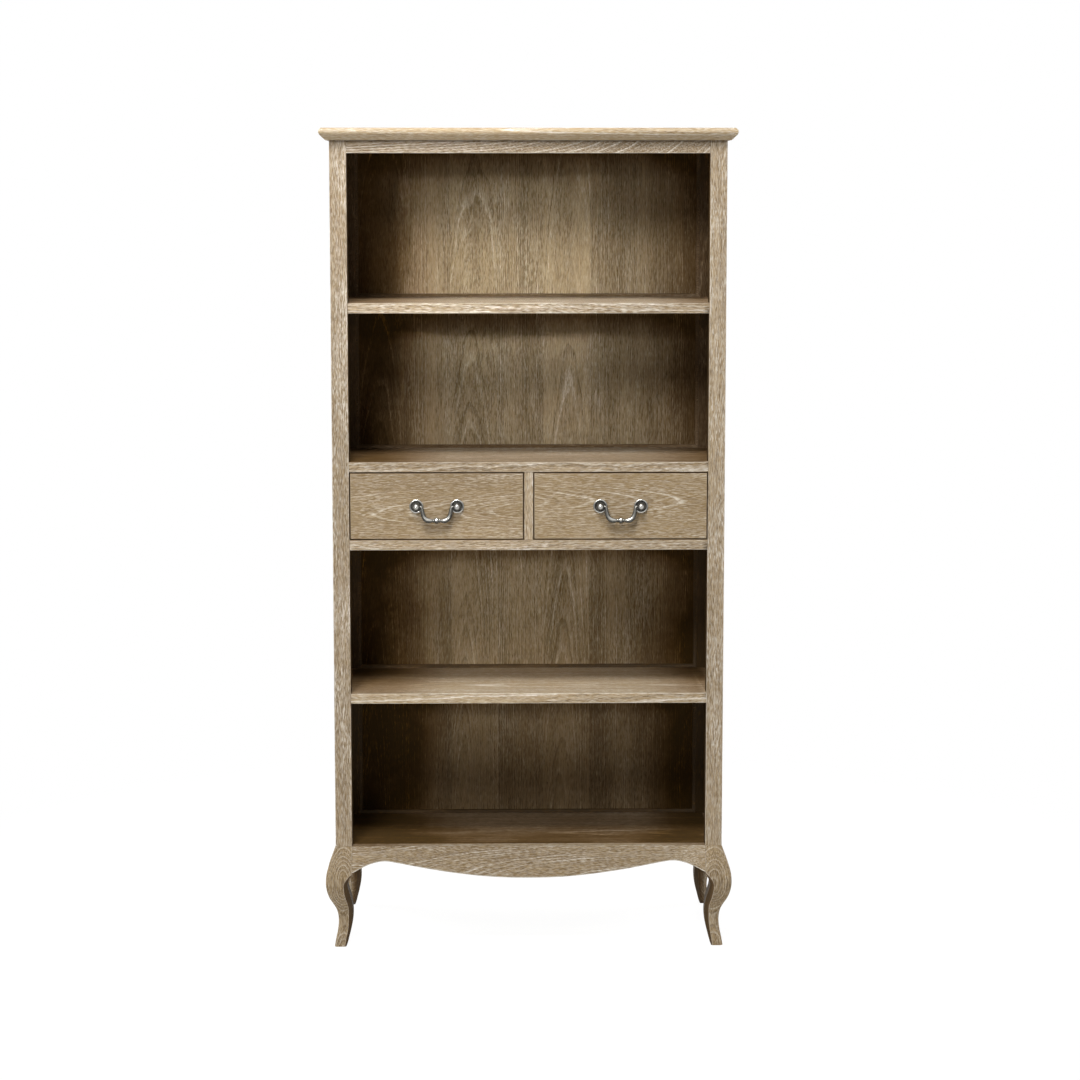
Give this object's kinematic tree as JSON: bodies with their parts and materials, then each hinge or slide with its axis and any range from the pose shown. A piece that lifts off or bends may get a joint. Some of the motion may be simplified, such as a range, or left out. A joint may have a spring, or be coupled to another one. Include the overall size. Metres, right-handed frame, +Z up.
{
  "type": "bookcase with drawers",
  "caption": "Tall open bookcase in limed oak on swept legs, with fixed shelves, a shaped apron, a moulded top and side-by-side drawers with swinging drop pulls.",
  "frame": {"origin": "on the floor, at the middle of the box that holds the whole bookcase", "axes": "+Z up, +X to the right seen from the front, +Y from the front to the back"},
  "size_m": [0.972, 0.4, 1.95],
  "materials": {
    "limed_oak": "open-grained oak, limed and weathered to a light grey brown, flat varnish",
    "back_veneer": "limed oak veneer laid in upright leaves",
    "drawer_box_oak": "plain sanded oak with a thin clear coat",
    "pewter": "antique pewter, bright on the high places and dark in the hollows",
    "screw_steel": "bright zinc"
  },
  "bodies": {
    "case": {"top_board": "limed_oak", "top_front_rail": "limed_oak", "left_top_side_rail": "limed_oak", "right_top_side_rail": "limed_oak", "left_front_post": "limed_oak", "right_front_post": "limed_oak", "left_rear_post": "limed_oak", "right_rear_post": "limed_oak", "left_front_leg": "limed_oak", "right_front_leg": "limed_oak", "left_rear_leg": "limed_oak", "right_rear_leg": "limed_oak", "front_apron": "limed_oak", "rear_apron": "limed_oak", "left_side_apron": "limed_oak", "right_side_apron": "limed_oak", "left_side_panel": "limed_oak", "right_side_panel": "limed_oak", "back_panel": "back_veneer", "upper_shelf": "limed_oak", "drawer_deck": "limed_oak", "lower_shelf": "limed_oak", "bottom_board": "limed_oak", "top_bay_bead": "limed_oak", "upper_bay_bead": "limed_oak", "middle_bay_bead": "limed_oak", "bottom_bay_bead": "limed_oak", "left_front_corner_block": "drawer_box_oak", "right_front_corner_block": "drawer_box_oak", "left_rear_corner_block": "drawer_box_oak", "right_rear_corner_block": "drawer_box_oak", "drawer_front_rail": "limed_oak", "drawer_rear_rail": "drawer_box_oak", "dust_panel": "back_veneer", "left_drawer_runner": "drawer_box_oak", "right_drawer_runner": "drawer_box_oak", "centre_drawer_runner": "drawer_box_oak", "drawer_divider": "limed_oak", "left_drawer_stop": "drawer_box_oak", "right_drawer_stop": "drawer_box_oak"},
    "left_drawer": {"left_drawer_front": "limed_oak", "left_drawer_left_side": "drawer_box_oak", "left_drawer_right_side": "drawer_box_oak", "left_drawer_back": "drawer_box_oak", "left_drawer_bottom": "drawer_box_oak", "left_pull_left_post": "pewter", "left_pull_right_post": "pewter", "left_pull_left_screw": "screw_steel", "left_pull_right_screw": "screw_steel"},
    "left_bail": {"left_pull_bail": "pewter"},
    "right_drawer": {"right_drawer_front": "limed_oak", "right_drawer_left_side": "drawer_box_oak", "right_drawer_right_side": "drawer_box_oak", "right_drawer_back": "drawer_box_oak", "right_drawer_bottom": "drawer_box_oak", "right_pull_left_post": "pewter", "right_pull_right_post": "pewter", "right_pull_left_screw": "screw_steel", "right_pull_right_screw": "screw_steel"},
    "right_bail": {"right_pull_bail": "pewter"}
  },
  "joints": [
    {"name": "left_drawer_slide", "type": "slide", "parent": "case", "child": "left_drawer", "axis": [0, -1, 0], "range_m": [0, 0.22]},
    {"name": "left_bail_swing", "type": "hinge", "parent": "left_drawer", "child": "left_bail", "pos_m": [-0.21675, -0.189, 1.0665], "axis": [-1, 0, 0], "range_deg": [-8, 95]},
    {"name": "right_drawer_slide", "type": "slide", "parent": "case", "child": "right_drawer", "axis": [0, -1, 0], "range_m": [0, 0.22]},
    {"name": "right_bail_swing", "type": "hinge", "parent": "right_drawer", "child": "right_bail", "pos_m": [0.21675, -0.189, 1.0665], "axis": [-1, 0, 0], "range_deg": [-8, 95]}
  ]
}
